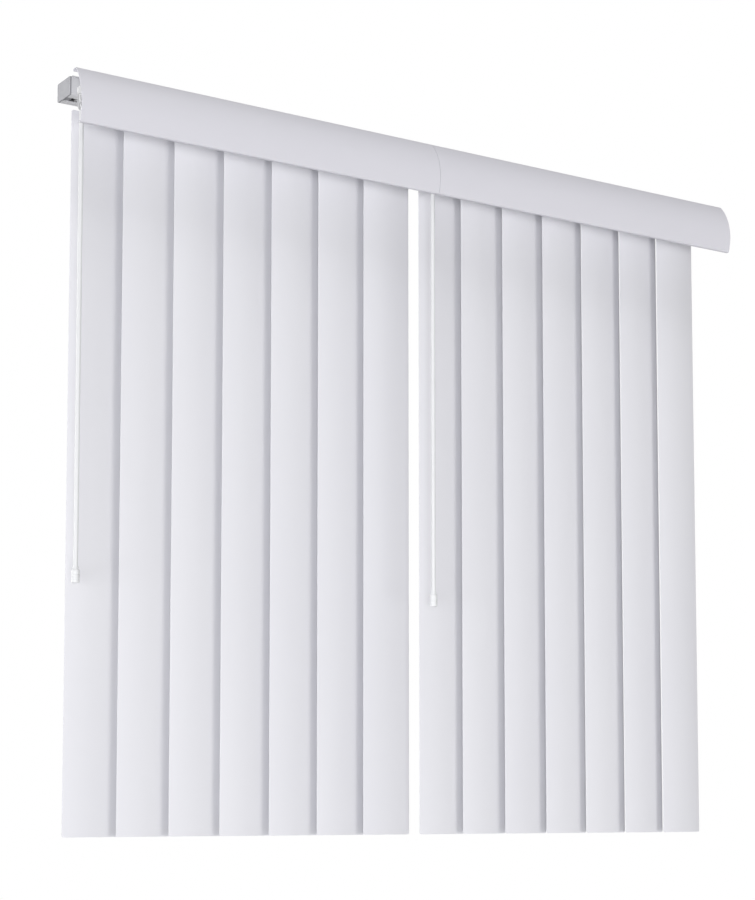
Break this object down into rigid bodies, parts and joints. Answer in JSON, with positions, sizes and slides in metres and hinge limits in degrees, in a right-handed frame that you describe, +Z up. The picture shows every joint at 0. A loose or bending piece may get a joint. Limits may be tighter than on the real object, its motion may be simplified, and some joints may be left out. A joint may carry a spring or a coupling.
{
  "type": "vertical blind",
  "caption": "Wand-operated vertical blind: bowed plastic vanes hang from geared carriers in a slotted headrail behind a curved valance.",
  "frame": {"origin": "middle of the flat mounting plane on top of the brackets", "axes": "+X along the headrail towards the side where the vanes stack, +Y into the window, +Z up out of the brackets"},
  "size_m": [1.125, 0.0902, 1],
  "materials": {
    "rail": "white powder coat on aluminium",
    "end_cap": "moulded grey plastic, slightly satin",
    "bracket": "zinc plated spring steel",
    "valance": "extruded white PVC, satin",
    "clip": "moulded translucent white plastic",
    "rod": "extruded mill finish",
    "carrier": "moulded white acetal, satin",
    "stem": "moulded clear white plastic",
    "vane": "extruded white PVC, fine satin",
    "wand": "white plastic, soft gloss",
    "wire": "bright plated wire"
  },
  "bodies": {
    "headrail": {"headrail": "rail", "end_cap_left": "end_cap", "end_cap_right": "end_cap", "mounting_brackets": "bracket", "valance_left": "valance", "valance_right": "valance", "valance_clips": "clip", "rod_bearing": "end_cap", "carrier_left_7": "carrier", "carrier_right_7": "carrier"},
    "tilt_rod_left": {"tilt_rod_left": "rod"},
    "carrier_left_1": {"carrier_left_1": "carrier"},
    "vane_left_1": {"stem_left_1": "stem", "vane_left_1": "vane"},
    "carrier_left_2": {"carrier_left_2": "carrier"},
    "vane_left_2": {"stem_left_2": "stem", "vane_left_2": "vane"},
    "carrier_left_3": {"carrier_left_3": "carrier"},
    "vane_left_3": {"stem_left_3": "stem", "vane_left_3": "vane"},
    "carrier_left_4": {"carrier_left_4": "carrier"},
    "vane_left_4": {"stem_left_4": "stem", "vane_left_4": "vane"},
    "carrier_left_5": {"carrier_left_5": "carrier"},
    "vane_left_5": {"stem_left_5": "stem", "vane_left_5": "vane"},
    "carrier_left_6": {"carrier_left_6": "carrier"},
    "vane_left_6": {"stem_left_6": "stem", "vane_left_6": "vane"},
    "vane_left_7": {"stem_left_7": "stem", "vane_left_7": "vane"},
    "spindle_left": {"wand_spindle_left": "carrier"},
    "wand_left": {"wand_hook_left": "wire", "wand_rod_left": "wand", "wand_grip_left": "wand"},
    "tilt_rod_right": {"tilt_rod_right": "rod"},
    "carrier_right_1": {"carrier_right_1": "carrier"},
    "vane_right_1": {"stem_right_1": "stem", "vane_right_1": "vane"},
    "carrier_right_2": {"carrier_right_2": "carrier"},
    "vane_right_2": {"stem_right_2": "stem", "vane_right_2": "vane"},
    "carrier_right_3": {"carrier_right_3": "carrier"},
    "vane_right_3": {"stem_right_3": "stem", "vane_right_3": "vane"},
    "carrier_right_4": {"carrier_right_4": "carrier"},
    "vane_right_4": {"stem_right_4": "stem", "vane_right_4": "vane"},
    "carrier_right_5": {"carrier_right_5": "carrier"},
    "vane_right_5": {"stem_right_5": "stem", "vane_right_5": "vane"},
    "carrier_right_6": {"carrier_right_6": "carrier"},
    "vane_right_6": {"stem_right_6": "stem", "vane_right_6": "vane"},
    "vane_right_7": {"stem_right_7": "stem", "vane_right_7": "vane"},
    "spindle_right": {"wand_spindle_right": "carrier"},
    "wand_right": {"wand_hook_right": "wire", "wand_rod_right": "wand", "wand_grip_right": "wand"}
  },
  "joints": [
    {"name": "traverse_left_1", "type": "slide", "parent": "headrail", "child": "carrier_left_1", "axis": [1, 0, 0], "range_m": [0, 0.3372]},
    {"name": "traverse_left_2", "type": "slide", "parent": "headrail", "child": "carrier_left_2", "axis": [1, 0, 0], "range_m": [0, 0.281]},
    {"name": "traverse_left_3", "type": "slide", "parent": "headrail", "child": "carrier_left_3", "axis": [1, 0, 0], "range_m": [0, 0.2248]},
    {"name": "traverse_left_4", "type": "slide", "parent": "headrail", "child": "carrier_left_4", "axis": [1, 0, 0], "range_m": [0, 0.1686]},
    {"name": "traverse_left_5", "type": "slide", "parent": "headrail", "child": "carrier_left_5", "axis": [1, 0, 0], "range_m": [0, 0.1124]},
    {"name": "traverse_left_6", "type": "slide", "parent": "headrail", "child": "carrier_left_6", "axis": [1, 0, 0], "range_m": [0, 0.0562]},
    {"name": "tilt_left_1", "type": "hinge", "parent": "carrier_left_1", "child": "vane_left_1", "pos_m": [-0.50497, 0, -0.02], "axis": [0, 0, 1], "range_deg": [0, 160]},
    {"name": "tilt_left_2", "type": "hinge", "parent": "carrier_left_2", "child": "vane_left_2", "pos_m": [-0.42877, 0, -0.02], "axis": [0, 0, 1], "range_deg": [0, 160]},
    {"name": "tilt_left_3", "type": "hinge", "parent": "carrier_left_3", "child": "vane_left_3", "pos_m": [-0.35257, 0, -0.02], "axis": [0, 0, 1], "range_deg": [0, 160]},
    {"name": "tilt_left_4", "type": "hinge", "parent": "carrier_left_4", "child": "vane_left_4", "pos_m": [-0.27637, 0, -0.02], "axis": [0, 0, 1], "range_deg": [0, 160]},
    {"name": "tilt_left_5", "type": "hinge", "parent": "carrier_left_5", "child": "vane_left_5", "pos_m": [-0.20017, 0, -0.02], "axis": [0, 0, 1], "range_deg": [0, 160]},
    {"name": "tilt_left_6", "type": "hinge", "parent": "carrier_left_6", "child": "vane_left_6", "pos_m": [-0.12397, 0, -0.02], "axis": [0, 0, 1], "range_deg": [0, 160]},
    {"name": "tilt_left_7", "type": "hinge", "parent": "headrail", "child": "vane_left_7", "pos_m": [-0.04777, 0, -0.02], "axis": [0, 0, 1], "range_deg": [0, 160]},
    {"name": "rod_turn_left", "type": "hinge", "parent": "headrail", "child": "tilt_rod_left", "pos_m": [-0.50497, 0.0086, -0.02], "axis": [1, 0, 0], "range_deg": [-45, 1710]},
    {"name": "wand_turn_left", "type": "hinge", "parent": "carrier_left_1", "child": "spindle_left", "pos_m": [-0.55595, -0.0505, -0.032], "axis": [0, 0, 1], "range_deg": [-45, 1710]},
    {"name": "wand_swing_left", "type": "hinge", "parent": "spindle_left", "child": "wand_left", "pos_m": [-0.55595, -0.0505, -0.0477], "axis": [0, 1, 0], "range_deg": [-9, 9]},
    {"name": "traverse_right_1", "type": "slide", "parent": "headrail", "child": "carrier_right_1", "axis": [1, 0, 0], "range_m": [0, 0.3372]},
    {"name": "traverse_right_2", "type": "slide", "parent": "headrail", "child": "carrier_right_2", "axis": [1, 0, 0], "range_m": [0, 0.281]},
    {"name": "traverse_right_3", "type": "slide", "parent": "headrail", "child": "carrier_right_3", "axis": [1, 0, 0], "range_m": [0, 0.2248]},
    {"name": "traverse_right_4", "type": "slide", "parent": "headrail", "child": "carrier_right_4", "axis": [1, 0, 0], "range_m": [0, 0.1686]},
    {"name": "traverse_right_5", "type": "slide", "parent": "headrail", "child": "carrier_right_5", "axis": [1, 0, 0], "range_m": [0, 0.1124]},
    {"name": "traverse_right_6", "type": "slide", "parent": "headrail", "child": "carrier_right_6", "axis": [1, 0, 0], "range_m": [0, 0.0562]},
    {"name": "tilt_right_1", "type": "hinge", "parent": "carrier_right_1", "child": "vane_right_1", "pos_m": [0.04777, 0, -0.02], "axis": [0, 0, 1], "range_deg": [0, 160]},
    {"name": "tilt_right_2", "type": "hinge", "parent": "carrier_right_2", "child": "vane_right_2", "pos_m": [0.12397, 0, -0.02], "axis": [0, 0, 1], "range_deg": [0, 160]},
    {"name": "tilt_right_3", "type": "hinge", "parent": "carrier_right_3", "child": "vane_right_3", "pos_m": [0.20017, 0, -0.02], "axis": [0, 0, 1], "range_deg": [0, 160]},
    {"name": "tilt_right_4", "type": "hinge", "parent": "carrier_right_4", "child": "vane_right_4", "pos_m": [0.27637, 0, -0.02], "axis": [0, 0, 1], "range_deg": [0, 160]},
    {"name": "tilt_right_5", "type": "hinge", "parent": "carrier_right_5", "child": "vane_right_5", "pos_m": [0.35257, 0, -0.02], "axis": [0, 0, 1], "range_deg": [0, 160]},
    {"name": "tilt_right_6", "type": "hinge", "parent": "carrier_right_6", "child": "vane_right_6", "pos_m": [0.42877, 0, -0.02], "axis": [0, 0, 1], "range_deg": [0, 160]},
    {"name": "tilt_right_7", "type": "hinge", "parent": "headrail", "child": "vane_right_7", "pos_m": [0.50497, 0, -0.02], "axis": [0, 0, 1], "range_deg": [0, 160]},
    {"name": "rod_turn_right", "type": "hinge", "parent": "headrail", "child": "tilt_rod_right", "pos_m": [0.04777, 0.0086, -0.02], "axis": [1, 0, 0], "range_deg": [-45, 1710]},
    {"name": "wand_turn_right", "type": "hinge", "parent": "carrier_right_1", "child": "spindle_right", "pos_m": [-0.0032, -0.0505, -0.032], "axis": [0, 0, 1], "range_deg": [-45, 1710]},
    {"name": "wand_swing_right", "type": "hinge", "parent": "spindle_right", "child": "wand_right", "pos_m": [-0.0032, -0.0505, -0.0477], "axis": [0, 1, 0], "range_deg": [-9, 9]}
  ],
  "couplings": [
    {"joint": "traverse_left_2", "follows": "traverse_left_1", "ratio": 0.83333},
    {"joint": "traverse_left_3", "follows": "traverse_left_1", "ratio": 0.66667},
    {"joint": "traverse_left_4", "follows": "traverse_left_1", "ratio": 0.5},
    {"joint": "traverse_left_5", "follows": "traverse_left_1", "ratio": 0.33333},
    {"joint": "traverse_left_6", "follows": "traverse_left_1", "ratio": 0.16667},
    {"joint": "tilt_left_2", "follows": "tilt_left_1", "ratio": 1},
    {"joint": "tilt_left_3", "follows": "tilt_left_1", "ratio": 1},
    {"joint": "tilt_left_4", "follows": "tilt_left_1", "ratio": 1},
    {"joint": "tilt_left_5", "follows": "tilt_left_1", "ratio": 1},
    {"joint": "tilt_left_6", "follows": "tilt_left_1", "ratio": 1},
    {"joint": "tilt_left_7", "follows": "tilt_left_1", "ratio": 1},
    {"joint": "rod_turn_left", "follows": "tilt_left_1", "ratio": 9},
    {"joint": "wand_turn_left", "follows": "tilt_left_1", "ratio": 9},
    {"joint": "traverse_right_2", "follows": "traverse_right_1", "ratio": 0.83333},
    {"joint": "traverse_right_3", "follows": "traverse_right_1", "ratio": 0.66667},
    {"joint": "traverse_right_4", "follows": "traverse_right_1", "ratio": 0.5},
    {"joint": "traverse_right_5", "follows": "traverse_right_1", "ratio": 0.33333},
    {"joint": "traverse_right_6", "follows": "traverse_right_1", "ratio": 0.16667},
    {"joint": "tilt_right_2", "follows": "tilt_right_1", "ratio": 1},
    {"joint": "tilt_right_3", "follows": "tilt_right_1", "ratio": 1},
    {"joint": "tilt_right_4", "follows": "tilt_right_1", "ratio": 1},
    {"joint": "tilt_right_5", "follows": "tilt_right_1", "ratio": 1},
    {"joint": "tilt_right_6", "follows": "tilt_right_1", "ratio": 1},
    {"joint": "tilt_right_7", "follows": "tilt_right_1", "ratio": 1},
    {"joint": "rod_turn_right", "follows": "tilt_right_1", "ratio": 9},
    {"joint": "wand_turn_right", "follows": "tilt_right_1", "ratio": 9}
  ]
}
